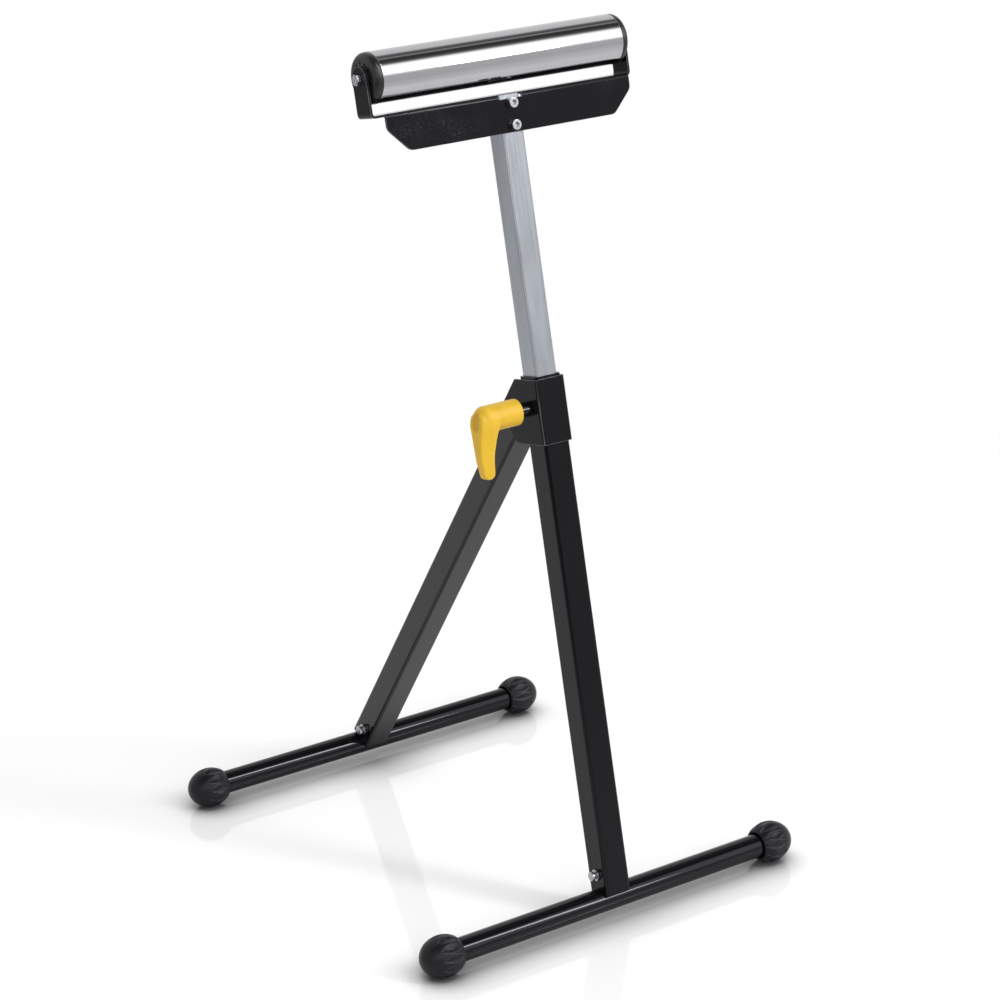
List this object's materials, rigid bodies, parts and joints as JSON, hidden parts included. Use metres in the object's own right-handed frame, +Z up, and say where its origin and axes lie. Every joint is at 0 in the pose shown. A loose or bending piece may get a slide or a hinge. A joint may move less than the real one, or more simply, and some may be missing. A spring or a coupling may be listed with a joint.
{
  "type": "roller stand",
  "caption": "Folding work-support stand: two hinged square-tube legs on foot bars with ball caps, a sliding mast locked by a lever screw, and a free roller on a bent sheet bracket.",
  "frame": {"origin": "on the floor, in the middle of the four feet, legs open", "axes": "+X along the roller and the foot bars, to the right; -Y the front, where the bracket plate faces; +Z up"},
  "size_m": [0.462, 0.5086, 0.8803],
  "materials": {
    "black_paint": "glossy black powder coat",
    "chrome": "bright chrome",
    "zinc": "zinc plated, fine lengthwise lines",
    "steel": "bright zinc plated fasteners",
    "yellow_plastic": "satin moulded",
    "black_plastic": "satin moulded",
    "black_rubber": "matte moulded"
  },
  "bodies": {
    "front_frame": {"front_leg": "black_paint", "front_bar_stub": "black_paint", "front_foot_bar": "black_paint", "front_foot_cap_left": "black_rubber", "front_foot_cap_right": "black_rubber", "front_foot_screw": "steel", "front_foot_washer": "steel", "front_foot_nut": "steel", "hinge_collar": "black_paint", "clamp_boss": "black_paint", "pivot_bolt": "steel", "pivot_nut": "steel"},
    "rear_frame": {"rear_leg": "black_paint", "pivot_bush": "steel", "rear_bar_stub": "black_paint", "rear_foot_bar": "black_paint", "rear_foot_cap_left": "black_rubber", "rear_foot_cap_right": "black_rubber", "rear_foot_screw": "steel", "rear_foot_washer": "steel", "rear_foot_nut": "steel"},
    "mast": {"mast_tube": "zinc", "mast_plug": "black_plastic", "roller_bracket": "black_paint", "bracket_screw_upper": "steel", "bracket_screw_lower": "steel", "bracket_washer_upper": "steel", "bracket_washer_lower": "steel", "bracket_nut_upper": "steel", "bracket_nut_lower": "steel", "roller_axle": "steel", "axle_nut_left": "steel", "axle_nut_right": "steel", "axle_spacer_left": "steel", "axle_spacer_right": "steel"},
    "roller": {"roller_tube": "chrome", "roller_end_cap_left": "black_plastic", "roller_end_cap_right": "black_plastic", "roller_bearing_left": "steel", "roller_bearing_right": "steel"},
    "clamp_tip": {"clamp_pad": "black_plastic"},
    "clamp_handle": {"clamp_stud": "steel", "clamp_lever": "yellow_plastic"}
  },
  "joints": [
    {"name": "rear_leg_fold", "type": "hinge", "parent": "front_frame", "child": "rear_frame", "pos_m": [0, -0.09339, 0.5067], "axis": [-1, 0, 0], "range_deg": [0, 45]},
    {"name": "mast_slide", "type": "slide", "parent": "front_frame", "child": "mast", "axis": [0, 0.213, 0.977], "range_m": [-0.235, 0.165]},
    {"name": "roller_spin", "type": "hinge", "parent": "mast", "child": "roller", "pos_m": [-0.0065, -0.05402, 0.85532], "axis": [1, 0, 0], "continuous": true},
    {"name": "clamp_screw", "type": "slide", "parent": "front_frame", "child": "clamp_tip", "axis": [-1, 0, 0], "range_m": [0, 0.00041666]},
    {"name": "clamp_turn", "type": "hinge", "parent": "clamp_tip", "child": "clamp_handle", "pos_m": [-0.05, -0.12431, 0.51979], "axis": [-1, 0, 0], "range_deg": [0, 120]}
  ],
  "couplings": [
    {"joint": "clamp_turn", "follows": "clamp_screw", "rad_per_m": 5026.5}
  ]
}
